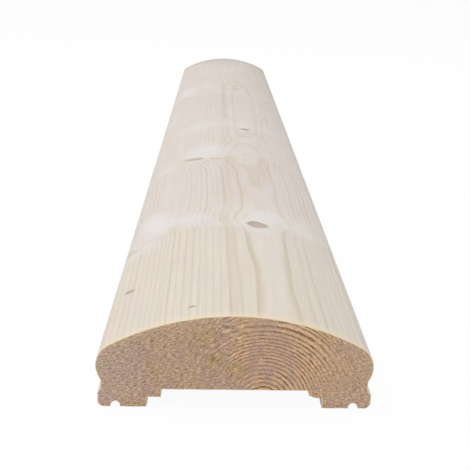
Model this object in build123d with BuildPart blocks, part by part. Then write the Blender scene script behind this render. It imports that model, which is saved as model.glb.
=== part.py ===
from build123d import *
import math
import os

# Crowned timber handrail, moulded in one piece from planed softwood.
# It lies on its two feet, with the stepped recess that seats on the top rail or
# the posts facing down. X runs across the rail, Y along it and Z up. The origin is
# the middle of the rail's length and width, on the level of the feet.
# All sizes are in millimetres.

# Overall size of the planed length
rail_width = 120.0
rail_height = 42.0
rail_length = 1200.0

# Moulded sides, from the crown down to the feet
crown_radius = 115.0
ovolo_radius = 10.5
ovolo_undercut = 34.0  # degrees that the ovolo turns in below the widest line
cove_radius = 6.5
nose_inset = 0.6  # how far the nose stands in from the widest line
nose_height = 6.4
nose_radius = 3.0

# Drip grooves, one under each foot, with a round top
drip_radius = 2.0
drip_depth = 2.4
drip_from_side = 8.3  # from the widest line to the middle of the groove

# Stepped recess below, a wide shallow rebate with a narrower one inside it
rebate_width = 76.0
rebate_depth = 4.5
recess_width = 63.5
recess_depth = 8.1


def ovolo_centre():
    """Middle of the ovolo, which is tangent to the crown and to the widest line."""
    across = rail_width / 2 - ovolo_radius
    crown_to_ovolo = crown_radius - ovolo_radius
    below_crown = crown_radius - math.sqrt(crown_to_ovolo**2 - across**2)
    return Vector(across, rail_height - below_crown)


crown_centre = Vector(0, rail_height - crown_radius)
ovolo_middle = ovolo_centre()
ovolo_top = crown_centre + (ovolo_middle - crown_centre).normalized() * crown_radius
ovolo_widest = ovolo_middle + Vector(ovolo_radius, 0)
ovolo_bottom = ovolo_middle + Vector(ovolo_radius, 0).rotate(Axis.Z, -ovolo_undercut)
nose_side = rail_width / 2 - nose_inset
nose_top = Vector(nose_side, nose_height)
nose_turn = Vector(nose_side, nose_radius)
nose_foot = Vector(nose_side - nose_radius, 0)
drip_middle = rail_width / 2 - drip_from_side

with BuildPart() as handrail:
    with BuildSketch(Plane.XZ):
        with BuildLine() as outline:
            RadiusArc(ovolo_top, ovolo_widest, ovolo_radius)
            RadiusArc(ovolo_widest, ovolo_bottom, ovolo_radius)
            RadiusArc(ovolo_bottom, nose_top, -cove_radius)
            Line(nose_top, nose_turn)
            RadiusArc(nose_turn, nose_foot, nose_radius)
            mirror(outline.line, about=Plane.YZ)
            ThreePointArc((-ovolo_top.X, ovolo_top.Y), (0, rail_height), ovolo_top)
            Line((-nose_foot.X, 0), nose_foot)
        make_face()
        Rectangle(rebate_width, 2 * rebate_depth, mode=Mode.SUBTRACT)
        Rectangle(recess_width, 2 * recess_depth, mode=Mode.SUBTRACT)
        with Locations((-drip_middle, 0), (drip_middle, 0)):
            SlotOverall(2 * drip_depth, 2 * drip_radius, rotation=90, mode=Mode.SUBTRACT)
    extrude(amount=rail_length / 2, both=True)

handrail.part.label = "handrail"

os.makedirs("parts", exist_ok=True)
export_step(handrail.part, "parts/handrail.step")
print("volume in litres", round(handrail.part.volume / 1e6, 4))
print("size", handrail.part.bounding_box().size)
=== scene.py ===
"""Moulded timber handrail, dressed as one length of knotty planed softwood."""

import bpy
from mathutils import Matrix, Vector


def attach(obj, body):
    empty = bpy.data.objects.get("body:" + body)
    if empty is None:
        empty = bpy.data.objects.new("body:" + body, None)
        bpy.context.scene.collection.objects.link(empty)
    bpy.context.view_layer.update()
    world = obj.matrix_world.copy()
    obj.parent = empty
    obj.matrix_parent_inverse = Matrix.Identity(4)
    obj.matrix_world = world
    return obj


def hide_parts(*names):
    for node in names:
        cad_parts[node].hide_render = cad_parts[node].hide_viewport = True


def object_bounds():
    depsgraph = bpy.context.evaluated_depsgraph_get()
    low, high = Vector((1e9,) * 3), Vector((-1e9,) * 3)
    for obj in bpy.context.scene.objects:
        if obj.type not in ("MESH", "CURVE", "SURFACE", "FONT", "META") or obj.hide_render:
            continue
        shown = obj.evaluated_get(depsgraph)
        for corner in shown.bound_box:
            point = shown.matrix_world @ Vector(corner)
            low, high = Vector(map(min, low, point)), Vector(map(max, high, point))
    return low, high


bl_info = {
    "name": "Moulded Timber Handrail",
    "version": (1, 0, 0),
    "blender": (4, 5, 0),
    "location": "3D View > Sidebar > Handrail",
    "description": "Builds a crowned softwood handrail with true rings, knots and sawn ends",
    "category": "Object",
}

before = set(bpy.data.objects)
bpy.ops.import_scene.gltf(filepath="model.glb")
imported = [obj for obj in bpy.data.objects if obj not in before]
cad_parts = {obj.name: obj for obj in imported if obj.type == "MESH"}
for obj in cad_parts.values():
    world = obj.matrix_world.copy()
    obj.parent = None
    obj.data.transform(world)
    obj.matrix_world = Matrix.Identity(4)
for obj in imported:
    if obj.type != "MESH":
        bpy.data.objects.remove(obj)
CAD_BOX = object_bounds()

import math
from functools import partialmethod

import bmesh
import bpy
from bpy.props import FloatProperty, FloatVectorProperty, IntProperty, PointerProperty
from mathutils import Matrix, Vector, noise
from mathutils.geometry import delaunay_2d_cdt

MM = 0.001
LOW, HIGH = CAD_BOX
BOX_SIZE = [high - low for low, high in zip(LOW, HIGH)]
WHITE = (1, 1, 1)

# Shape: the longest straight run of the section, the steps along the rail from the end
# rounding inwards, and the net of a sawn face
LONGEST_RUN = 0.004
FIRST_STEP, STEP_GROWTH, LONGEST_STEP = 0.0006, 1.35, 0.016
SAWN_STEP = 0.004
SHARP_TURN, SHARP_EDGE = math.radians(25), math.radians(40)  # for rounding and for shading

# Torn fibres round a sawn end, most along the feet: how far in they are looked for, how
# high and long they reach, how deep and how fine they are
TEAR_REACH, TEAR_HEIGHT, TEAR_LENGTH, TEAR_DEPTH = 0.03, 0.012, 0.0015, 0.00022
TEAR_FINENESS = 420

# The chip in the near right corner of the rebate: its size, and the way it cuts in
CHIP_WIDTH, CHIP_LENGTH, CHIP_DEPTH, CHIP_WAY = 0.0022, 0.012, 0.0013, (0.45, 0.9)

# Bake map: the long faces fill its lower part, and the two sawn ends lie side by side
# above them
MAP_MARGIN, SIDE_WIDTH, SIDE_HEIGHT = 0.004, 0.992, 0.825
END_LEFT, END_WIDTH, END_FOOT, END_HEIGHT = 0.006, 0.488, 0.835, 0.16

# The large lamp, in metres: its side, its place and where it points
LAMP_SIDE, LAMP_PLACE, LAMP_AIM = 2.2, (-1.05, -0.3, 3.4), (0, -0.1, 0)

# Sockets of node groups that aren't plain numbers
SOCKET_KINDS = {"Place": "Vector", "Colour": "Color", "Worn colour": "Color"}

# Knots, each a branch that leaves the pith: how far from the near end it comes
# through the crown, the way it points about the pith, how it leans towards the far
# end, its radius, how much it swells the rings around it, how dark it is and how
# pale the wood around it. Distances are in millimetres, angles in degrees.
KNOTS = (
    ("big_knot", 167, 85.8, 12, 7.2, 0.5, 0.62, 0.6),
    ("left_edge_knot", 152, 164, 14, 5, 1.2, 0.2, 0.4),
    ("flank_knot", 163, 12, 14, 5.5, 1.5, 0.8, 0.6),
    ("slanted_knot", 383, 137, 20, 4.7, 1.6, 0.3, 0.3),
    ("low_knot", 388, 14, 15, 5, 1.4, 0.8, 0.5),
    ("middle_knot", 523, 84.5, 18, 4.6, 0.5, 0.85, 0.4),
    ("faint_knot", 619, 52, 20, 2.8, 0.5, 0.42, 0.1),
    ("buried_knot", 815, 82, 10, 14, -0.75, 0, 0),
    ("left_knot", 806, 158, 18, 4.6, 1.2, 0.06, 0.3),
    ("small_knot", 951, 64, 18, 3, 0.3, 0.42, 0.1),
    ("far_knot", 1026, 69.5, 18, 5, 1.2, 0.32, 0.15),
    ("pin_knot", 17, 129.7, 0, 1.2, 0.2, 0.7, 0),
    ("edge_pin_knot", 70, 156.7, 0, 1.4, 0.2, 0.8, 0),
)

# Patches on the crown where the wood grew with a tint of its own, and a grey one of
# painted shade at the far end: the tint, the distance from the near end, the place across,
# half its length along and across, how far it slants along the rail for each millimetre
# across, and its strength.
PATCHES = (
    ("pale", 200, -45, 30, 13, -0.9, 0.8),
    ("pale", 183, -22, 14, 16, -0.2, 0.45),
    ("pale", 193, 21, 19, 13, -0.3, 0.8),
    ("pale", 180, 42, 36, 8, -0.5, 0.25),
    ("pale", 158, -46, 26, 9, -0.5, 0.25),
    ("pale", 170, -18, 13, 14, -0.2, 0.3),
    ("olive", 168, -33.5, 13, 3.4, 0, 0.32),
    ("brown", 290, 1, 90, 14, 0, 0.1),
    ("olive", 288, 17, 13, 4, 0, 0.42),
    ("pale", 369, -47, 15, 10, -0.5, 0.5),
    ("brown", 345, 26, 60, 4.5, 0, 0.24),
    ("brown", 350, 0, 50, 3.5, 0, 0.22),
    ("pale", 410, -19, 36, 23, 0, 0.66),
    ("olive", 387, -30.5, 7, 6, -0.4, 0.5),
    ("brown", 380.5, -23.5, 5.2, 6, -0.3, 0.55),
    ("brown", 375, -9.5, 3.8, 7, -0.5, 0.45),
    ("olive", 374, 0.5, 9, 3.2, 0, 0.4),
    ("rosy", 526, 21.8, 10, 4.4, 0, 0.36),
    ("olive", 506, 18.5, 12, 7, 0.3, 0.32),
    ("olive", 500, 28, 14, 4, 0, 0.22),
    ("pale", 546, -24, 38, 18, 0, 0.36),
    ("pale", 547, 13, 17, 9, 0, 0.36),
    ("pale", 480, 41, 90, 8, 0, 0.15),
    ("brown", 695, 0, 85, 50, 0, 0.07),
    ("olive", 601, -0.5, 12, 3, 0, 0.35),
    ("pale", 852, -43, 50, 12, -1, 0.6),
    ("pale", 862, -20, 34, 22, -0.3, 0.3),
    ("brown", 1086, -38, 42, 6, -3, 0.11),
    # Painted shade: this grey patch darkens and greys the far end
    ("grey", 1160, 0, 75, 42, 0, 0.17),
)
PATCH_DEPTH = 9  # half of how far a patch reaches into the wood

# Patches on the sawn end nearest the camera: the tint, the place across and above the
# feet, half the width and height, and the strength
END_PATCHES = (
    ("ochre", -9, 22, 5, 3.5, 0.55),
    ("ochre", 0.5, 17.5, 6, 3.5, 0.45),
    ("ochre", -14, 32, 6, 5, 0.3),
    ("ochre", 39, 33, 5, 3.5, 0.35),
    ("ochre", -37, 19, 4, 4, 0.25),
    ("rosy", -7, 12.5, 7, 3, 0.4),
    ("rosy", -40, 27, 9, 4, 0.25),
    ("rosy", 15, 18, 4, 3, 0.25),
    ("grey", -52, 15, 17, 19, 0.55),
    ("grey", 50, 3, 13, 8, 0.28),
)

# Whorls, where the branches of one year leave the stem: the distance from the near
# end, the length along the rail and the strength of the pale swollen wood there.
WHORLS = (
    (164.5, 75, 0.78), (380, 50, 0.45), (530, 60, 0.35), (790, 80, 0.35), (1000, 70, 0.35),
)

# How many years the tree has grown at each distance from the pith, in millimetres
YEARS_BY_RADIUS = (
    (0, 0.5), (9.1, 5), (18.9, 10), (26.5, 15), (33.2, 19), (38.12, 21),
    (39.4, 22), (41, 23), (42.4, 24), (46.8, 27), (50.1, 29), (55.85, 32),
    (59.95, 35), (65.2, 38), (69.4, 40), (80, 44.5),
)
FULL_BRANCH = 40  # a branch has its full girth this far from the pith
RING_SQUASH = 0.975  # the rings are a little lower than wide

# What the tables run over: millimetres along the rail and from the pith, and years
RAIL_SPAN, RADIUS_SPAN, YEARS_SPAN = 1200, 80, 50

# How dark the ring of each year grew, counted from the pith, before the first whorl,
# between the first two and further on
YEAR_DARKNESS = (
    (0, 0.7), (5, 0.8), (10, 0.6), (15, 0.8), (21, 0.6), (22, 1), (23, 0.5), (24, 0.95),
    (25, 0.38), (26, 0.45), (27, 0.35), (28, 0.62), (29, 0.72), (30, 0.74), (31, 0.66),
    (32, 1), (33, 0.38), (34, 0.32), (35, 0.68), (36, 0.6), (37, 0.45), (38, 0.5),
    (39, 0.85), (40, 0.65), (42, 0.5), (50, 0.6),
)
MIDDLE_DARKNESS = (
    (0, 0.6), (20, 0.6), (21, 0.5), (22, 0.9), (23, 0.35), (24, 0.95), (25, 0.35), (26, 0.45),
    (27, 1), (28, 0.6), (29, 0.42), (30, 0.5), (31, 0.25), (32, 0.2), (33, 0.2), (34, 0.3),
    (35, 0.38), (36, 0.3), (37, 0.3), (38, 0.45), (39, 0.5), (40, 0.4), (50, 0.5),
)
FAR_DARKNESS = (
    (0, 0.5), (20, 0.5), (21, 0.2), (22, 0.95), (23, 0.6), (24, 0.7), (25, 0.35), (27, 0.6),
    (29, 0.3), (32, 0.6), (34, 0.3), (37, 0.55), (40, 0.4), (50, 0.5),
)

# How clearly the rings show, and how brown the stained year is, along the rail
RING_CONTRAST = ((0, 1), (150, 1), (190, 0.9), (350, 0.95), (400, 0.85), (1200, 0.8))
STAIN_CONTRAST = (
    (0, 0.9), (178, 1), (200, 0.35), (380, 0.4), (560, 0.5), (610, 1.7),
    (868, 1.7), (888, 0.7), (905, 0.3), (1200, 0.3),
)
STAINED_YEAR = 23.35  # a year whose whole ring is a little brown

# How far the rings draw in towards the pith along the rail, from the near end:
# a place on the crown lies that much further out in the stem. Millimetres.
STEM_TAPER = (
    (0, 0), (80, -0.05), (122, -0.25), (153, -0.3), (168, -0.9), (178, -1.5),
    (187, -1.5), (198, -0.9), (212, -0.55), (230, -0.5), (255, -0.48), (288, -0.75),
    (316, -0.75), (345, -1.2), (366, -2), (378, -2.1), (392, -1.4), (406, -0.95),
    (420, -0.6), (436, -0.25), (446, 0.2), (458, 0.6), (470, 0.62), (482, 0.2),
    (500, -0.1), (530, -0.3), (620, -0.43), (745, -0.5), (800, -0.5), (838, -0.3),
    (856, 0.2), (872, 1.2), (888, 2.1), (1000, 3.2), (1200, 5),
)
TAPER_LOW, TAPER_HIGH = -3, 6

# How far the pith wanders to the right along the rail. Millimetres.
PITH_WANDER = (
    (0, 0.5), (80, 0.2), (140, 0.05), (226, -0.2), (255, -0.2), (316, -0.6),
    (345, -1.8), (367, -3.2), (404, -3.1), (450, -2.9), (482, -2.5), (520, -1.1),
    (620, -0.6), (775, -0.7), (900, -1.3), (1200, -1.6),
)
WANDER_LOW, WANDER_HIGH = -5, 5

# Soft clouds of colour on the planed faces and on the sawn ends: how closely they lie
# along X, Y and Z, their scale, the noise at which they start and are full, and how
# strong they are
PLANED_CLOUDS = (
    ((42, 9, 42), 1, 0.48, 0.7, 0.28),
    ((50, 12, 33), 1.7, 0.5, 0.72, 0.26),
)
SAWN_CLOUDS = (
    ((120, 120, 150), 1, 0.56, 0.7, 0.25),
    ((85, 85, 60), 1.3, 0.44, 0.64, 0.5),
)
PLANER_PITCH = 1.6  # millimetres between the marks of the planer's knives


# Sizes and colours that a user would change


def distance(name, words, size):
    return FloatProperty(
        name=name, description=words, default=size, unit="LENGTH", subtype="DISTANCE"
    )


def angle(name, words, turn):
    return FloatProperty(
        name=name, description=words, default=turn, unit="ROTATION", subtype="ANGLE"
    )


def colour(name, words, rgb):
    return FloatVectorProperty(
        name=name, description=words, default=rgb, size=3, min=0.0, max=1.0, subtype="COLOR"
    )


class RailSection(bpy.types.PropertyGroup):
    """Sizes of the moulded section and of the length."""

    width: distance("Width", "Across the widest line of the ovolos", BOX_SIZE[0])
    length: distance("Length", "Between the two sawn ends", BOX_SIZE[1])
    height: distance("Height", "From the feet to the top of the crown", BOX_SIZE[2])
    crown_radius: distance("Crown radius", "Radius of the crowned top", 0.115)
    ovolo_radius: distance("Ovolo radius", "Radius of the round below the crown", 0.0105)
    ovolo_undercut: angle("Ovolo undercut", "Turn in below the widest line", math.radians(34))
    cove_radius: distance("Cove radius", "Radius of the hollow between ovolo and nose", 0.0065)
    nose_inset: distance("Nose inset", "From the widest line to the nose", 0.0006)
    nose_height: distance("Nose height", "From the foot to the lower edge of the cove", 0.0064)
    nose_radius: distance("Nose radius", "Round at the outer edge of the foot", 0.003)
    drip_radius: distance("Drip radius", "Radius of the drip groove", 0.002)
    drip_depth: distance("Drip depth", "Depth of the drip groove", 0.0024)
    drip_from_side: distance("Drip from side", "From the widest line to the groove", 0.0083)
    rebate_width: distance("Rebate width", "Width of the wide shallow rebate below", 0.076)
    rebate_depth: distance("Rebate depth", "Depth of the wide shallow rebate", 0.0045)
    recess_width: distance("Recess width", "Width of the recess inside the rebate", 0.0635)
    recess_depth: distance("Recess depth", "Depth of the recess from the feet", 0.0081)
    end_arris: distance("End arris", "Round along each sawn end", 0.00035)
    long_arris: distance("Long arris", "Round along the sharp edges", 0.0003)


class TimberLook(bpy.types.PropertyGroup):
    """Colours of the wood, the place of the pith and the seed of the darker years."""

    early_planed: colour("Planed earlywood", "Pale wood near one end", (0.768, 0.693, 0.603))
    cool_planed: colour("Cool earlywood", "Pale wood near the other end", (0.757, 0.683, 0.632))
    late_planed: colour("Planed latewood", "Ring lines", (0.6, 0.49, 0.345))
    pale_planed: colour("Pale wood", "Wood beside the whorls", (0.816, 0.784, 0.77))
    olive_planed: colour("Olive wood", "Resinous patches", (0.64, 0.56, 0.42))
    brown_planed: colour("Brown wood", "Patches beside the knots", (0.56, 0.41, 0.3))
    # Painted shade laid over the far end
    grey_planed: colour("Grey wood", "Painted shade at the far end", (0.4, 0.375, 0.395))
    rosy_planed: colour("Rosy wood", "Patches beside the knots", (0.81, 0.63, 0.6))
    young_planed: colour("Young wood", "Near the pith", (0.8, 0.74, 0.66))
    warm_planed: colour("Warm cloud", "Warm clouds along the rail", (0.75, 0.635, 0.5))
    dusky_planed: colour("Dusky cloud", "Dusky clouds along the rail", (0.7, 0.6, 0.57))
    canal_planed: colour("Resin canals", "Short fine lines of resin", (0.5, 0.38, 0.26))
    foot_planed: colour("Whorl foot", "Brown line where a whorl starts", (0.6, 0.5, 0.36))
    early_sawn: colour("Sawn earlywood", "Pale rings", (0.765, 0.5, 0.3))
    late_sawn: colour("Sawn latewood", "Dark rings", (0.17, 0.08, 0.035))
    torn_sawn: colour("Torn wood", "Wood that the saw tore", (0.31, 0.23, 0.19))
    ochre_sawn: colour("Sawn ochre", "Resinous patches", (0.47, 0.31, 0.1))
    rosy_sawn: colour("Sawn rose", "Rosy patches", (0.52, 0.36, 0.32))
    dusky_sawn: colour("Sawn cloud", "Dusky clouds", (0.48, 0.325, 0.27))
    grey_sawn: colour("Sawn grey", "Greyish patches", (0.53, 0.4, 0.33))
    heart_knot: colour("Knot", "Heart of a knot", (0.46, 0.292, 0.18))
    edge_knot: colour("Knot edge", "Dark edge of a knot", (0.25, 0.18, 0.13))
    # Painted highlight: the bright line along the arrises of the sawn ends
    arris_highlight: colour("Arris", "Painted highlight on the arrises", (0.93, 0.76, 0.5))
    pith_across: distance("Pith across", "Right of the rail's middle", 0.0121)
    pith_height: distance("Pith height", "Pith above the feet", 0.0032)
    seed: IntProperty(name="Seed", description="Picks which years grew darker", default=7)


class StageSetup(bpy.types.PropertyGroup):
    """Floor, light and camera."""

    floor_colour: colour("Floor", "Colour of the floor", (0.95, 0.95, 0.95))
    floor_size: distance("Floor size", "Side of the floor", 24)
    floor_white: FloatProperty(
        name="Floor white", description="How plain the floor looks to the camera", default=0.94,
        min=0.0, max=1.0, subtype="FACTOR",
    )
    sky_strength: FloatProperty(name="Sky", description="Strength of the even light", default=0.55)
    key_power: FloatProperty(
        name="Key lamp", description="Power of the large lamp", default=66, unit="POWER"
    )
    camera_across: distance("Camera across", "Camera to the right of the rail", -0.008851)
    camera_along: distance("Camera along", "Camera along the rail", -1.041998)
    camera_height: distance("Camera height", "Camera above the floor", 0.190121)
    camera_pitch: angle("Pitch", "How far the camera looks down", 0.249637)
    camera_yaw: angle("Yaw", "How far the camera looks right", 0.018039)
    camera_roll: angle("Roll", "How far the camera leans", 0.016965)
    focal_length: FloatProperty(
        name="Focal length", description="For a 36 mm sensor", default=83.857,
        subtype="DISTANCE_CAMERA",
    )


# Shape of the moulded length


def arc(centre, radius, start, end, steps):
    """Points of an arc, both ends included; angles in degrees from +X towards +Z."""
    points = []
    for i in range(steps + 1):
        a = math.radians(start + (end - start) * i / steps)
        points.append(Vector((centre[0] + radius * math.cos(a), centre[1] + radius * math.sin(a))))
    return points


def bearing(way):
    """Angle of a vector, in degrees from +X towards +Z."""
    return math.degrees(math.atan2(way.y, way.x))


def right_half(size):
    """Right half of the section, from the middle of the crown round to the recess."""
    half = size.width / 2
    crown_middle = Vector((0.0, size.height - size.crown_radius))
    across = half - size.ovolo_radius
    reach = size.crown_radius - size.ovolo_radius
    ovolo_middle = Vector((across, crown_middle.y + math.sqrt(reach**2 - across**2)))
    turn = bearing(ovolo_middle - crown_middle)
    points = arc(crown_middle, size.crown_radius, 90, turn, 36)
    undercut = math.degrees(size.ovolo_undercut)
    points += arc(ovolo_middle, size.ovolo_radius, turn, -undercut, 20)[1:]

    cove_top = points[-1]
    nose_side = half - size.nose_inset
    nose_top = Vector((nose_side, size.nose_height))
    chord = nose_top - cove_top
    rise = math.sqrt(size.cove_radius**2 - (chord.length / 2) ** 2)
    outward = Vector((-chord.y, chord.x)).normalized()
    cove_middle = (cove_top + nose_top) / 2 + outward * rise
    start, end = (bearing(spot - cove_middle) % 360 for spot in (cove_top, nose_top))
    points += arc(cove_middle, size.cove_radius, start, end, 12)[1:]

    nose_middle = (nose_side - size.nose_radius, size.nose_radius)
    points += arc(nose_middle, size.nose_radius, 0.0, -90, 8)
    drip = half - size.drip_from_side
    drip_roof = (drip, size.drip_depth - size.drip_radius)
    points.append(Vector((drip + size.drip_radius, 0.0)))
    points += arc(drip_roof, size.drip_radius, 0.0, 180, 12)
    rebate, recess = size.rebate_width / 2, size.recess_width / 2
    steps = (
        (drip - size.drip_radius, 0.0), (rebate, 0.0), (rebate, size.rebate_depth),
        (recess, size.rebate_depth), (recess, size.recess_depth),
    )
    return points + [Vector(step) for step in steps]


def softened(points, radius, steps=3):
    """The closed outline with a small round at every corner that turns sharply."""
    made = []
    count = len(points)
    for i, corner in enumerate(points):
        before = points[i - 1] - corner
        after = points[(i + 1) % count] - corner
        turn = math.pi - before.angle(after)
        if turn < SHARP_TURN:
            made.append(corner)
            continue
        cut = min(radius, before.length * 0.45, after.length * 0.45)
        start, end = corner + before.normalized() * cut, corner + after.normalized() * cut
        for k in range(steps + 1):
            t = k / steps
            made.append(start * (1 - t) ** 2 + corner * 2 * t * (1 - t) + end * t**2)
    return made


def divided(points, longest):
    """The closed outline with its long straight runs cut shorter."""
    made = []
    for i, point in enumerate(points):
        made.append(point)
        step = points[(i + 1) % len(points)] - point
        count = math.ceil(step.length / longest)
        made += [point + step * (k / count) for k in range(1, count)]
    return made


def section_outline(size):
    """The whole closed section, clockwise from the middle of the crown."""
    right = right_half(size)
    left = [Vector((-p.x, p.y)) for p in reversed(right[1:])]
    outline = softened(right + left, size.long_arris)
    return divided(outline, LONGEST_RUN)


def inward_normals(outline):
    """For each point of the clockwise outline, the unit vector into the wood."""
    normals = []
    for i, point in enumerate(outline):
        along = outline[(i + 1) % len(outline)] - outline[i - 1]
        normals.append(Vector((along.y, -along.x)).normalized())
    return normals


def hump(distance_away, width):
    """1 at no distance, falling to nothing a couple of widths away."""
    return math.exp(-((distance_away / width) ** 2))


def stations(size):
    """Places along the rail and how far the end rounding draws in at each."""
    half, arris = size.length / 2, size.end_arris
    rows = []
    for k in range(5):
        a = math.radians(22.5 * k)
        rows.append((-half + arris * (1 - math.cos(a)), arris * (1 - math.sin(a))))
    at, step = arris, FIRST_STEP
    while at < half:
        at += step
        step = min(step * STEP_GROWTH, LONGEST_STEP)
        if at < half - step / 2:
            rows.append((-half + at, 0.0))
    mirrored = [(-y, inset) for y, inset in reversed(rows)]
    return rows + [(0.0, 0.0)] + mirrored


def torn(point, y, size):
    """Where the saw tore the ends: how far the chip in the near right corner of the rebate
    shifts a section point, and how far the torn fibres set it in."""
    from_end = size.length / 2 - abs(y)
    if from_end > TEAR_REACH:
        return Vector((0.0, 0.0)), 0.0
    low = max(0.0, 1.0 - point.y / TEAR_HEIGHT)
    spot = point * TEAR_FINENESS
    rough = noise.noise(Vector((spot.x, spot.y, math.copysign(3.0, y))))
    inset = TEAR_DEPTH * (0.35 + low) * hump(from_end, TEAR_LENGTH) * max(0.0, 0.35 + rough)
    corner = Vector((size.recess_width / 2, size.rebate_depth))
    near_corner = hump((point - corner).length, CHIP_WIDTH)
    chip = CHIP_DEPTH * near_corner * hump(from_end, CHIP_LENGTH) * (y < 0)
    return Vector(CHIP_WAY) * chip, inset


def sawn_face(bm, ring, size, near, bake):
    """Close one end with a flat net of triangles in its own part of the bake map."""
    count, y = len(ring), ring[0].co.y
    flat = [Vector((vert.co.x, vert.co.z)) for vert in ring]
    edges = [(i, (i + 1) % count) for i in range(count)]
    across, up = int(size.width / SAWN_STEP), int(size.height / SAWN_STEP)
    inner = [
        Vector((-size.width / 2 + SAWN_STEP * (i + 0.5), SAWN_STEP * (j + 0.5)))
        for i in range(across) for j in range(up)
    ]
    spots = flat + [p for p in inner if min((p - q).length for q in flat) > SAWN_STEP * 0.4]
    places, _, faces, origins, _, _ = delaunay_2d_cdt(spots, edges, [], 1, 1e-7)
    verts = []
    for place, origin in zip(places, origins):
        known = [i for i in origin if i < count]
        verts.append(ring[known[0]] if known else bm.verts.new((place.x, y, place.y)))
    left = END_LEFT if near else END_LEFT + 0.5
    for face in faces:
        corners = [verts[i] for i in face]
        made = bm.faces.new(corners if near else list(reversed(corners)))
        made.material_index = 1
        for loop in made.loops:
            u, v = loop.vert.co.x / size.width + 0.5, loop.vert.co.z / size.height
            loop[bake].uv = (left + END_WIDTH * u, END_FOOT + END_HEIGHT * v)


def build_timber(size):
    """The moulded length as one closed mesh, with its bake map and its arris weights,
    which carry the painted highlight along the sawn ends and keep it faint along the
    feet, where shade falls."""
    outline = section_outline(size)
    normals = inward_normals(outline)
    rows = stations(size)
    count = len(outline)
    end_glow = size.end_arris * 1.25
    girth = [0.0]
    for a, b in zip(outline, outline[1:] + outline[:1]):
        girth.append(girth[-1] + (b - a).length)

    bm = bmesh.new()
    arris = bm.verts.layers.float.new("arris")
    grid = []
    for y, inset in rows:
        ring = []
        for point, normal in zip(outline, normals):
            shift, tear = torn(point, y, size)
            place = point + normal * (inset + tear) + shift
            vert = bm.verts.new((place.x, y, place.y))
            # Painted highlight on the upper arrises, kept faint near the feet, where they would be
            # in shade
            bright = min(1.0, max(0.12, (point.y - 0.01) / 0.012))
            vert[arris] = bright * hump(size.length / 2 - abs(y), end_glow)
            ring.append(vert)
        grid.append(ring)

    bake = bm.loops.layers.uv.new("OFBake")
    us = [MAP_MARGIN + SIDE_WIDTH * g / girth[-1] for g in girth]
    vs = [MAP_MARGIN + SIDE_HEIGHT * (y + size.length / 2) / size.length for y, _ in rows]
    for j in range(len(rows) - 1):
        v0, v1 = vs[j], vs[j + 1]
        for i in range(count):
            k = (i + 1) % count
            face = bm.faces.new((grid[j][i], grid[j][k], grid[j + 1][k], grid[j + 1][i]))
            u0, u1 = us[i], us[i + 1]
            for loop, uv in zip(face.loops, ((u0, v0), (u1, v0), (u1, v1), (u0, v1))):
                loop[bake].uv = uv
            face.smooth = True

    sawn_face(bm, grid[0], size, True, bake)
    sawn_face(bm, grid[-1], size, False, bake)
    bm.normal_update()
    mesh = bpy.data.meshes.new("timber_length")
    bm.to_mesh(mesh)
    bm.free()
    mesh.set_sharp_from_angle(angle=SHARP_EDGE)
    return mesh


# Finishes


class Value:
    """What a node gives out. Its methods and sums add the nodes that work on it."""

    def __init__(self, sheet, socket):
        self.sheet = sheet
        self.socket = socket

    def math(self, operation, *others):
        return self.sheet.math(operation, self, *others)

    __add__ = __radd__ = partialmethod(math, "ADD")
    __sub__ = partialmethod(math, "SUBTRACT")
    __mul__ = partialmethod(math, "MULTIPLY")
    __truediv__ = partialmethod(math, "DIVIDE")
    __pow__ = partialmethod(math, "POWER")
    root = partialmethod(math, "SQRT")
    line = partialmethod(math, "MULTIPLY_ADD")  # times a slope, plus an offset

    def smooth(self, low, high, bottom=0, top=1):
        """A soft step from the bottom to the top, as the value goes from low to high."""
        return self.sheet.made(
            "ShaderNodeMapRange",
            {"Value": self, "From Min": low, "From Max": high, "To Min": bottom, "To Max": top},
            interpolation_type="SMOOTHSTEP",
        )

    def bell(self, middle, width):
        """1 at the middle, falling to nothing a couple of widths away."""
        away = (self - middle) / width
        return (away * away * -1).math("EXPONENT")

    def table(self, points, span, low, high):
        """A table of places and values, read at this share of its span."""
        made = self.sheet.node("ShaderNodeFloatCurve", {"Value": self})
        curve = made.mapping.curves[0]
        spots = [(place / span, (value - low) / (high - low)) for place, value in points]
        curve.points[0].location = spots[0]
        curve.points[1].location = spots[-1]
        for spot in spots[1:-1]:
            curve.points.new(*spot)
        made.mapping.update()
        return Value(self.sheet, made.outputs[0]).line(high - low, low)

    def vector(self, operation, other):
        inputs = {0: self, 1: other}
        return self.sheet.made("ShaderNodeVectorMath", inputs, operation=operation)

    def scaled(self, factors):
        return self.vector("MULTIPLY", factors)

    def in_mm(self):
        return self.scaled((1 / MM, 1 / MM, 1 / MM))

    def parts(self):
        """The X, Y and Z of a vector."""
        made = self.sheet.node("ShaderNodeSeparateXYZ", {"Vector": self})
        return self.sheet.outputs(made).values()

    def noise(self, scale, detail=2, roughness=0.5, output="Fac"):
        """Noise at a place, with one scale or with one for each axis."""
        if isinstance(scale, tuple):
            return self.scaled(scale).noise(1, detail, roughness, output)
        inputs = {"Vector": self, "Scale": scale, "Detail": detail, "Roughness": roughness}
        return self.sheet.made("ShaderNodeTexNoise", inputs, output)


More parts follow.
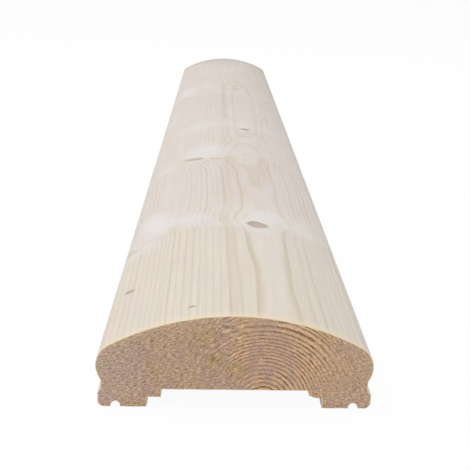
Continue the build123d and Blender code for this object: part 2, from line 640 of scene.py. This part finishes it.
class Sheet:
    """A node tree being wired."""

    def __init__(self, tree):
        self.tree = tree

    def feed(self, socket, value):
        """Link a value into a socket, or set the plain number, place or colour there."""
        if isinstance(value, Value):
            self.tree.links.new(value.socket, socket)
        elif socket.type == "RGBA":
            socket.default_value = (*value, 1)
        else:
            socket.default_value = value

    def node(self, kind, inputs=(), **settings):
        """Add a node, with its inputs fed by name or by number."""
        made = self.tree.nodes.new(kind)
        for name, value in settings.items():
            setattr(made, name, value)
        for name, value in dict(inputs).items():
            self.feed(made.inputs[name], value)
        return made

    def made(self, kind, inputs=(), output=0, **settings):
        """Add a node and give back one of its outputs."""
        return Value(self, self.node(kind, inputs, **settings).outputs[output])

    def outputs(self, node):
        """All outputs of a node by name."""
        return {socket.name: Value(self, socket) for socket in node.outputs}

    def fill(self, node, **inputs):
        """Feed a node's inputs by name, with an underscore for a space."""
        for name, value in inputs.items():
            self.feed(node.inputs[name.replace("_", " ")], value)
        return self.outputs(node)

    def group(self, tree, label="", **inputs):
        """Set a node group in the tree and give back its outputs."""
        return self.fill(self.node("ShaderNodeGroup", node_tree=tree, label=label), **inputs)

    def finished_group(self, **outputs):
        """Make this node group's outputs, feed them and give back its tree."""
        add_sockets(self.tree, "OUTPUT", outputs)
        self.fill(self.node("NodeGroupOutput"), **outputs)
        return self.tree

    def math(self, operation, *values):
        return self.made("ShaderNodeMath", enumerate(values), operation=operation)

    def most(self, first, second):
        return self.math("MAXIMUM", first, second)

    def joined(self, x, y, z):
        return self.made("ShaderNodeCombineXYZ", {"X": x, "Y": y, "Z": z})

    def mix(self, factor, first, second, blend="MIX"):
        """A colour between two others."""
        inputs = {0: factor, 6: first, 7: second}
        return self.made("ShaderNodeMix", inputs, 2, data_type="RGBA", blend_type=blend)

    def shaded(self, colour_value, tone):
        """A colour made lighter or darker by a tone."""
        return self.mix(1, colour_value, self.joined(tone, tone, tone), "MULTIPLY")

    def blended(self, factor, first, second):
        """A number between two others."""
        return self.made("ShaderNodeMix", {0: factor, 2: first, 3: second}, data_type="FLOAT")

    def shaders(self, factor, first, second):
        """A shader between two others."""
        return self.made("ShaderNodeMixShader", enumerate((factor, first, second)))

    def dot(self, first, second):
        """Sum of the products of two lists of values."""
        total = 0
        for a, b in zip(first, second):
            total = a.line(b, total)
        return total


def add_sockets(tree, way, names):
    """Give a node group its named inputs or outputs."""
    for name in names:
        spoken = name.replace("_", " ")
        kind = "NodeSocket" + SOCKET_KINDS.get(spoken, "Float")
        tree.interface.new_socket(spoken, in_out=way, socket_type=kind)


def new_group(name, inputs):
    """An empty shader node group's sheet, and what the group is given."""
    tree = bpy.data.node_groups.new(name, "ShaderNodeTree")
    add_sockets(tree, "INPUT", inputs)
    sheet = Sheet(tree)
    return sheet, sheet.outputs(sheet.node("NodeGroupInput"))


def triples(*prefixes):
    """Names of group inputs, such as Foot X, Foot Y and Foot Z for one prefix."""
    return [prefix + axis for prefix in prefixes for axis in "XYZ"]


def branch_group():
    """One branch through the wood: its knot, dark edge, pale halo and swelling of the rings."""
    names = triples("", "Foot ", "Way ") + ["Wobble", "Side", "Radius", "Swell"]
    sheet, given = new_group("Branch", names)
    way = [given[name] for name in triples("Way ")]
    from_foot = [given[axis] - given["Foot " + axis] for axis in "XYZ"]
    along = sheet.dot(from_foot, way)
    off = [apart - share * along for apart, share in zip(from_foot, way)]
    side_square = sheet.dot((off[0], off[2]), (off[0], off[2]))
    long_square = off[1] * off[1]

    # It thickens away from the pith, and its section is a spindle along the rail
    grown = sheet.most(along / FULL_BRANCH, 0.02) ** 0.8
    here = given["Radius"] * grown / given["Wobble"]
    spindle = side_square**0.75 + long_square**0.75
    nearness = spindle ** (1 / 1.5) / here
    gate = along.smooth(1, 4)
    knot = nearness.smooth(1.12, 0.8) * gate
    far_side = (off[1] / here).smooth(-0.4, 0.4, 0.15, 1)
    edge = nearness.bell(0.85, 0.2) * given["Side"] * far_side

    around = long_square.line(0.46, side_square).root()
    halo = (around / here).smooth(2.5, 1.1)
    stretched = long_square.line(0.36, side_square).root()
    swelling = (stretched / given["Radius"].line(1.3, 2)).bell(0, 1)
    swelling = swelling * given["Swell"] * along.smooth(3, 22)
    return sheet.finished_group(
        Knot=knot, Edge=edge * gate, Halo=halo * gate, Swelling=swelling, Core=nearness
    )


def patch_group():
    """A soft uneven patch about a place, slanted along the rail."""
    names = triples("", "Middle ", "Half ") + ["Uneven", "Slant", "Strength"]
    sheet, given = new_group("Patch", names)
    apart = [given[axis] - given["Middle " + axis] for axis in "XYZ"]
    apart[1] = apart[1] - apart[0] * given["Slant"]
    apart = [value / given["Half " + axis] for value, axis in zip(apart, "XYZ")]
    away = sheet.dot(apart, apart).root() * given["Uneven"]
    return sheet.finished_group(Share=away.smooth(1.25, 0.3) * given["Strength"])


def crown_reach(look, size, angle):
    """How far from the pith a branch at this angle comes through the crown."""
    start = Vector((look.pith_across, look.pith_height - size.height + size.crown_radius)) / MM
    way = Vector((math.cos(angle), math.sin(angle)))
    middle = start.dot(way)
    return math.sqrt(middle**2 - start.length_squared + (size.crown_radius / MM) ** 2) - middle


def ring_group(look, size, branch):
    """The stem that the rail was cut from: its rings, knots and whorls at any place in it."""
    sheet, given = new_group("Growth rings", ("Place",))
    place = given["Place"].in_mm()
    x, y, z = place.parts()
    wobble = place.noise(0.2, 3, 0.6).line(0.7, 0.65)
    one_side = place.noise(0.11, 1).smooth(0.4, 0.62, 0.15, 1)
    half = size.length / MM / 2
    from_near = y + half

    # Distance from the wandering pith and the turn about it, in the tapered stem
    drift = place.noise((0.03, 0.0035, 0.03), 1, output="Color")
    drift_x, _, drift_z = drift.vector("SUBTRACT", (0.5, 0.5, 0.5)).parts()
    ripple = place.noise((0.16, 0.014, 0.16))
    share = from_near / (half * 2)
    wander = share.table(PITH_WANDER, RAIL_SPAN, WANDER_LOW, WANDER_HIGH)
    dx = drift_x.line(1.6, x) - (wander + look.pith_across / MM)
    dz = (drift_z.line(0.8, z) - look.pith_height / MM) / RING_SQUASH
    turn = dx.math("ARCTAN2", dz)
    taper = share.table(STEM_TAPER, RAIL_SPAN, TAPER_LOW, TAPER_HIGH)
    radius = (dx * dx + dz * dz).root() + taper + ripple.line(0.5, -0.25)

    # Whorls, and how many of them lie between here and the near end
    whorl_place = place.noise((0.055, 0, 0.055)).line(18, from_near - 9)
    whorl, whorl_edge, passed = 0, 0, 0
    for middle, spread, strength in WHORLS:
        rise = whorl_place.smooth(middle - 8, middle + 7)
        fall = whorl_place.smooth(middle + spread, middle)
        whorl += rise * fall * strength
        whorl_edge += whorl_place.bell(middle - 6, 5)
        passed += whorl_place.math("GREATER_THAN", middle)
    whorl *= place.noise((0.05, 0.03, 0.05)).smooth(0.4, 0.64, 0.05, 1)
    whorl_edge *= place.noise((0.08, 0.02, 0.08), 1).smooth(0.45, 0.62)

    knot, edge, halo, swelling, grain = 0, 0, 0, 0, 0
    for name, at, azimuth, lean, girth, swell, dark, pale in KNOTS:
        a, b = math.radians(azimuth), math.radians(lean)
        back = crown_reach(look, size, a) * math.tan(b)
        foot = (look.pith_across / MM, at - half - back, look.pith_height / MM)
        way = (math.cos(a) * math.cos(b), math.sin(b), math.sin(a) * math.cos(b))
        seen = sheet.group(
            branch, name, Wobble=wobble, Side=one_side, Radius=girth, Swell=swell,
            **dict(zip(triples("", "Foot ", "Way "), (x, y, z, *foot, *way))),
        )
        knot = sheet.most(knot, seen["Knot"] * dark)
        edge = sheet.most(edge, seen["Edge"] * dark)
        halo = sheet.most(halo, seen["Halo"] * pale)
        swelling += seen["Swelling"]
        grain += seen["Core"] * seen["Knot"]

    # The years, and how dark each one grew
    radius = radius - swelling
    years = radius / RADIUS_SPAN
    years = years.table(YEARS_BY_RADIUS, RADIUS_SPAN, 0, YEARS_SPAN) - 0.1
    year = years.math("FLOOR") + 1
    year_share = year / YEARS_SPAN
    near_dark, middle_dark, far_dark = (
        year_share.table(rows, YEARS_SPAN, 0, 1)
        for rows in (YEAR_DARKNESS, MIDDLE_DARKNESS, FAR_DARKNESS)
    )
    pick = passed.line(31, year + look.seed)
    chance = sheet.made("ShaderNodeTexWhiteNoise", {"W": pick}, "Value", noise_dimensions="1D")
    far_dark = chance.line(0.6, 0.7) * far_dark
    darkness = sheet.blended(passed.math("GREATER_THAN", 0.5), near_dark, middle_dark)
    darkness = sheet.blended(passed.math("GREATER_THAN", 1.5), darkness, far_dark)
    stain = years.bell(STAINED_YEAR, 0.5) * turn.smooth(0.45, 0.05)
    return sheet.finished_group(
        Phase=years.math("FRACT"),
        Darkness=darkness * share.table(RING_CONTRAST, RAIL_SPAN, 0, 1),
        Radius=radius,
        Turn=turn,
        Whorl=whorl,
        Whorl_edge=whorl_edge,
        Knot=knot,
        Knot_edge=edge,
        Knot_grain=(grain * 26).math("SINE"),
        Halo=halo,
        Stain=stain * share.table(STAIN_CONTRAST, RAIL_SPAN, 0, 2),
    )


def fibre_group():
    """Fibres along the rail at three widths, with resin canals. Length is how many times
    longer than wide they are."""
    sheet, given = new_group("Wood fibre", ("Place", "Length"))
    x, y, z = given["Place"].in_mm().parts()
    along = y / given["Length"]
    place = sheet.joined(x, along, z)
    canal = sheet.joined(x, along * 2.2, z).noise(1.7, 1)
    return sheet.finished_group(
        Fine=place.noise(3.2, 2, 0.6),
        Strand=place.noise(0.95),
        Streak=place.noise(0.3),
        Canal=canal.smooth(0.68, 0.74),
    )


def arris_highlight_group():
    """Painted highlight along the edges of the sawn ends, broken up by fine noise."""
    sheet, given = new_group("Arris wear", ("Colour", "Worn colour", "Place", "Amount"))
    arris = sheet.made("ShaderNodeAttribute", output="Fac", attribute_name="arris")
    broken = given["Place"].noise(900).smooth(0.3, 0.55, 0.55, 1)
    share = arris * broken * given["Amount"]
    highlighted = sheet.mix(share, given["Colour"], given["Worn colour"])
    return sheet.finished_group(Colour=highlighted)


def new_finish(name):
    """An empty material, its sheet and its shader."""
    finish = bpy.data.materials.new(name)
    finish.use_nodes = True
    return finish, Sheet(finish.node_tree), finish.node_tree.nodes["Principled BSDF"]


def clouded(sheet, place, wood, clouds, colours):
    """The wood's colour with soft clouds of other colours over it."""
    for (stretch, scale, low, high, strength), cloud_colour in zip(clouds, colours):
        cloud = place.scaled(stretch).noise(scale)
        wood = sheet.mix(cloud.smooth(low, high, 0, strength), wood, cloud_colour)
    return wood


def tinted(sheet, look, patch_tree, place, spot, wood, rows):
    """The wood's colour with patches of the look's tints laid over it."""
    uneven = place.noise((220, 50, 220), 3, 0.6).line(1.1, 0.45)
    shares = {}
    for tint, middle, half, slant, strength in rows:
        patch = sheet.group(
            patch_tree, Uneven=uneven, Slant=slant, Strength=strength,
            **dict(zip(triples("", "Middle ", "Half "), (*spot, *middle, *half))),
        )
        shares[tint] = sheet.most(shares.get(tint, 0), patch["Share"])
    for tint, share in shares.items():
        wood = sheet.mix(share, wood, getattr(look, tint))
    return wood


def planed_finish(look, size, groups):
    """Planed and moulded faces: pale wood, faint ring lines, knots and planer marks."""
    finish, sheet, shader = new_finish("planed softwood")
    place = sheet.made("ShaderNodeTexCoord", output="Object")
    rings = sheet.group(groups["rings"], Place=place)
    fibre = sheet.group(groups["fibre"], Place=place, Length=55)
    x, y, z = place.in_mm().parts()

    # Pale wood, warmer at the near end
    cool = place.noise((9, 2, 9)).line(200, y - 100)
    base = sheet.mix(cool.smooth(-540, -330), look.early_planed, look.cool_planed)
    young = rings["Radius"].smooth(40, 38.6, 0, 0.5) * y.smooth(-330, -430)
    base = sheet.mix(young, base, look.young_planed)

    # Ring lines, hidden in the whorls and beside the knots
    rise, drop = rings["Phase"].smooth(0.5, 0.88), rings["Phase"].smooth(1, 0.9)
    fade = place.noise((35, 6, 35))
    strength = rings["Darkness"] * fade.smooth(0.25, 0.65, 0.65, 1)
    clear = sheet.most(rings["Whorl"] * 0.85, rings["Halo"] * 0.7).line(-1, 1)
    line = rise * drop * strength * clear
    base = sheet.mix(rings["Stain"] * clear * 0.24, base, look.late_planed)
    wood = sheet.mix(line * 0.72, base, look.late_planed)

    # Clouds, fibres and resin canals
    colours = (look.warm_planed, look.dusky_planed)
    wood = clouded(sheet, place, wood, PLANED_CLOUDS, colours)
    tone = fibre["Fine"].line(0.1, 0.95) * fibre["Strand"].line(0.13, 0.935)
    wood = sheet.shaded(wood, tone * fibre["Streak"].line(0.1, 0.95))
    wood = sheet.mix(fibre["Canal"] * 0.25, wood, look.canal_planed)

    # Whorls, and painted shade: the right side darker towards the far end, and the whole far end
    # darker over its last few centimetres
    wood = sheet.mix(rings["Whorl edge"] * 0.2, wood, look.foot_planed)
    shade = x.smooth(20, 54) * y.smooth(-400, 500)
    wood = sheet.shaded(wood, shade.line(-0.09, y.smooth(545, 599, 1, 0.87)))
    pale = sheet.most(rings["Whorl"] * 0.6, rings["Halo"] * 0.8)
    wood = sheet.mix(pale, wood, look.pale_planed)

    rows = []
    bend = size.crown_radius / MM
    for tint, at, across, long_half, wide_half, slant, strength in PATCHES:
        up = size.height / MM - bend + math.sqrt(bend**2 - across**2)
        middle = (across, at - size.length / MM / 2, up)
        half = (wide_half, long_half, PATCH_DEPTH)
        rows.append((tint + "_planed", middle, half, slant, strength))
    wood = tinted(sheet, look, groups["patch"], place, (x, y, z), wood, rows)

    # Knots, and a painted highlight along the near end and on the arrises of both ends
    grain = rings["Knot grain"].line(0.16, 0.22)
    wood = sheet.mix(rings["Knot"], wood, sheet.mix(grain, look.heart_knot, look.edge_knot))
    wood = sheet.mix(rings["Knot edge"] * 0.85, wood, look.edge_knot)
    wood = sheet.mix(y.smooth(-590.5, -600, 0, 0.5), wood, look.arris_highlight)
    highlighted = sheet.group(
        groups["arris"], Colour=wood, Worn_colour=look.arris_highlight, Place=place, Amount=0.9
    )

    gloss = rings["Knot"].line(-0.12, fibre["Strand"].line(0.14, 0.52))
    planer = (y * (2 * math.pi / PLANER_PITCH)).math("SINE")
    height = fibre["Canal"].line(-0.8, planer.line(0.06, fibre["Fine"]))
    bump = {"Strength": 0.35, "Distance": 0.00006, "Height": height}
    normal = sheet.made("ShaderNodeBump", bump)
    sheet.fill(shader, Base_Color=highlighted["Colour"], Roughness=gloss, Normal=normal)
    return finish


def sawn_finish(look, size, groups):
    """Sawn ends: dark end grain, crisp rings near the pith and torn strokes further out."""
    finish, sheet, shader = new_finish("sawn end grain")
    place = sheet.made("ShaderNodeTexCoord", output="Object")
    x, y, z = place.in_mm().parts()

    # How far from the part that the saw didn't tear
    across, above = (x - 22) * 1.1, (z - 27) * 0.85
    away = (across * across + above * above).root()
    blur = place.noise((65, 65, 65), 3)
    away = blur.line(-34, away + 17)
    torn_area = away.smooth(11, 34)

    tear = place.noise((700, 0, 700), output="Color")
    tear = tear.vector("SUBTRACT", (0.5, 0.5, 0.5))
    pull = torn_area.line(0.0016, 0.001)
    tear = sheet.made("ShaderNodeVectorMath", {0: tear, "Scale": pull}, operation="SCALE")
    rings = sheet.group(groups["rings"], Place=place.vector("ADD", tear))
    fibre = sheet.group(groups["fibre"], Place=place, Length=1)

    # Rings, which the torn fibres hide
    late = rings["Phase"].smooth(0.36, 0.74) * rings["Phase"].smooth(1, 0.86)
    broken = place.noise((380, 0, 380))
    shown = rings["Darkness"].line(0.25, 0.75) * broken.smooth(0.3, 0.62, 0.45, 1)
    shown = shown * torn_area.line(-0.84, 1)
    wood = sheet.mix(late * shown, look.early_sawn, look.late_sawn)

    # Torn fibres, in strokes from the pith on top and level at the sides
    polar = sheet.joined(rings["Radius"] * 1.15, rings["Turn"] * rings["Radius"] * 0.34, 0)
    limbs = polar.noise(1, 2, 0.55)
    from_pith = (x - look.pith_across / MM).math("ABSOLUTE")
    level = from_pith.line(0.22, z)
    dashes = sheet.joined(x * 0.55, 0, level * 1.7).noise(1, 3, 0.62)
    low_side = rings["Turn"].math("ABSOLUTE").smooth(0.8, 1.15)
    strokes = sheet.blended(sheet.most(away.smooth(34, 50), low_side), limbs, dashes)
    wood = sheet.mix(torn_area * 0.38, wood, look.torn_sawn)
    stroke = (strokes - 0.5).line(torn_area.line(2.1, 0.7), 1)

    wood = clouded(sheet, place, wood, SAWN_CLOUDS, (look.ochre_sawn, look.dusky_sawn))
    rows = []
    for tint, middle_x, up, wide_half, high_half, strength in END_PATCHES:
        middle = (middle_x, -size.length / MM / 2, up)
        rows.append((tint + "_sawn", middle, (wide_half, 30, high_half), 0, strength))
    wood = tinted(sheet, look, groups["patch"], place, (x, y, z), wood, rows)

    speckle = sheet.joined(x, 0, level * 2).noise(1.15, 2, 0.7)
    dots = stroke * fibre["Fine"].line(0.5, 0.75) * speckle.line(1.4, 0.33)
    wood = sheet.shaded(wood, dots * z.smooth(12, 4, 1, 1.09))
    wood = sheet.mix(rings["Knot"] * 0.7, wood, look.edge_knot)
    # Faint painted highlight along the arrises of the sawn end
    highlighted = sheet.group(
        groups["arris"], Colour=wood, Worn_colour=look.arris_highlight, Place=place, Amount=0.15
    )

    height = fibre["Fine"].line(0.7, late.line(0.6, strokes))
    bump = {"Strength": 0.5, "Distance": 0.0002, "Height": height}
    normal = sheet.made("ShaderNodeBump", bump)
    gloss = strokes.line(0.2, 0.72)
    sheet.fill(shader, Base_Color=highlighted["Colour"], Roughness=gloss, Normal=normal)
    return finish


def floor_finish(setup):
    """Plain pale floor that looks white to the camera, keeps the rail's shadow and lets
    the camera look through it from below."""
    finish, sheet, shader = new_finish("studio floor")
    plain = {"Base_Color": setup.floor_colour, "Roughness": 0.9, "Specular_IOR_Level": 0.0}
    lit = sheet.fill(shader, **plain)["BSDF"]
    rays = sheet.outputs(sheet.node("ShaderNodeLightPath"))
    seen = sheet.most(rays["Is Camera Ray"], rays["Is Glossy Ray"])
    seen = sheet.most(seen, rays["Is Transmission Ray"])
    white = sheet.made("ShaderNodeEmission", {"Color": WHITE, "Strength": 1.0})
    from_above = sheet.shaders(seen * setup.floor_white, lit, white)
    below = sheet.made("ShaderNodeNewGeometry", output="Backfacing")
    clear = sheet.made("ShaderNodeBsdfTransparent")
    surface = sheet.shaders(below, from_above, clear)
    sheet.fill(finish.node_tree.nodes["Material Output"], Surface=surface)
    return finish


# Operators, panel and the build


def placed(name, data):
    """A new object in the scene."""
    made = bpy.data.objects.new(name, data)
    bpy.context.scene.collection.objects.link(made)
    return made


class HANDRAIL_OT_timber(bpy.types.Operator):
    """Build the moulded length and give it its planed and sawn finishes"""

    bl_idname = "handrail.timber"
    bl_label = "Timber Length"

    def execute(self, context):
        size, look = context.scene.rail_section, context.scene.timber_look
        mesh = build_timber(size)
        rail = placed("timber_length", mesh)
        groups = {
            "rings": ring_group(look, size, branch_group()),
            "fibre": fibre_group(),
            "arris": arris_highlight_group(),
            "patch": patch_group(),
        }
        mesh.materials.append(planed_finish(look, size, groups))
        mesh.materials.append(sawn_finish(look, size, groups))
        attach(rail, "root")
        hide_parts("handrail")
        return {"FINISHED"}


class HANDRAIL_OT_stage(bpy.types.Operator):
    """Lay the pale floor, hang the lamp and set the camera"""

    bl_idname = "handrail.stage"
    bl_label = "Stage"

    def execute(self, context):
        setup = context.scene.stage_setup
        self.lay_floor(setup)
        self.light(context, setup)
        self.set_camera(context, setup)
        context.scene.view_settings.view_transform = "Standard"
        return {"FINISHED"}

    def lay_floor(self, setup):
        half = setup.floor_size / 2
        mesh = bpy.data.meshes.new("floor")
        below = -0.1 * MM  # the feet and the floor don't share a plane
        corners = [(x * half, y * half, below) for x, y in ((-1, -1), (1, -1), (1, 1), (-1, 1))]
        mesh.from_pydata(corners, [], [(0, 1, 2, 3)])
        mesh.materials.append(floor_finish(setup))
        floor = placed("floor", mesh)

    def light(self, context, setup):
        world = bpy.data.worlds.new("even sky")
        world.use_nodes = True
        sheet = Sheet(world.node_tree)
        nodes = world.node_tree.nodes
        sky = sheet.fill(nodes["Background"], Color=WHITE, Strength=setup.sky_strength)
        white = sheet.made("ShaderNodeBackground", {"Color": WHITE, "Strength": 1.0})
        to_camera = sheet.made("ShaderNodeLightPath", output="Is Camera Ray")
        seen = sheet.shaders(to_camera, sky["Background"], white)
        sheet.fill(nodes["World Output"], Surface=seen)
        context.scene.world = world

        lamp = bpy.data.lights.new("key_lamp", "AREA")
        lamp.shape = "SQUARE"
        lamp.size = LAMP_SIDE
        lamp.energy = setup.key_power
        key = placed("key_lamp", lamp)
        place = Vector(LAMP_PLACE)
        turn = (Vector(LAMP_AIM) - place).to_track_quat("-Z", "Y").to_matrix().to_4x4()
        key.matrix_world = Matrix.Translation(place) @ turn

    def set_camera(self, context, setup):
        camera = placed("camera", bpy.data.cameras.new("camera"))
        camera.data.sensor_width = 36.0
        camera.data.lens = setup.focal_length
        pitch, yaw, roll = setup.camera_pitch, setup.camera_yaw, setup.camera_roll
        ahead = Vector(
            (math.sin(yaw) * math.cos(pitch), math.cos(yaw) * math.cos(pitch), -math.sin(pitch))
        )
        level = Vector((math.cos(yaw), -math.sin(yaw), 0.0))
        upright = level.cross(ahead)
        right = level * math.cos(roll) + upright * math.sin(roll)
        up = upright * math.cos(roll) - level * math.sin(roll)
        turn = Matrix((right, up, -ahead)).transposed().to_4x4()
        place = Vector((setup.camera_across, setup.camera_along, setup.camera_height))
        camera.matrix_world = Matrix.Translation(place) @ turn
        context.scene.camera = camera


class HANDRAIL_PT_panel(bpy.types.Panel):
    """Sizes, colours and build buttons of the handrail"""

    bl_idname = "HANDRAIL_PT_panel"
    bl_label = "Moulded Handrail"
    bl_space_type = "VIEW_3D"
    bl_region_type = "UI"
    bl_category = "Handrail"

    def draw(self, context):
        layout = self.layout
        for title, name, _ in SETTINGS:
            box = layout.box()
            box.label(text=title)
            group = getattr(context.scene, name)
            for key in group.__annotations__:
                box.prop(group, key)
        layout.operator(HANDRAIL_OT_timber.bl_idname)
        layout.operator(HANDRAIL_OT_stage.bl_idname)


SETTINGS = (
    ("Section", "rail_section", RailSection),
    ("Timber", "timber_look", TimberLook),
    ("Stage", "stage_setup", StageSetup),
)
CLASSES = (
    RailSection, TimberLook, StageSetup, HANDRAIL_OT_timber, HANDRAIL_OT_stage, HANDRAIL_PT_panel,
)


def register():
    for cls in CLASSES:
        bpy.utils.register_class(cls)
    for _, name, kind in SETTINGS:
        setattr(bpy.types.Scene, name, PointerProperty(type=kind))


def unregister():
    for _, name, _ in SETTINGS:
        delattr(bpy.types.Scene, name)
    for cls in reversed(CLASSES):
        bpy.utils.unregister_class(cls)


def main():
    register()
    bpy.ops.handrail.timber()
    bpy.ops.handrail.stage()


if __name__ == "__main__":
    main()
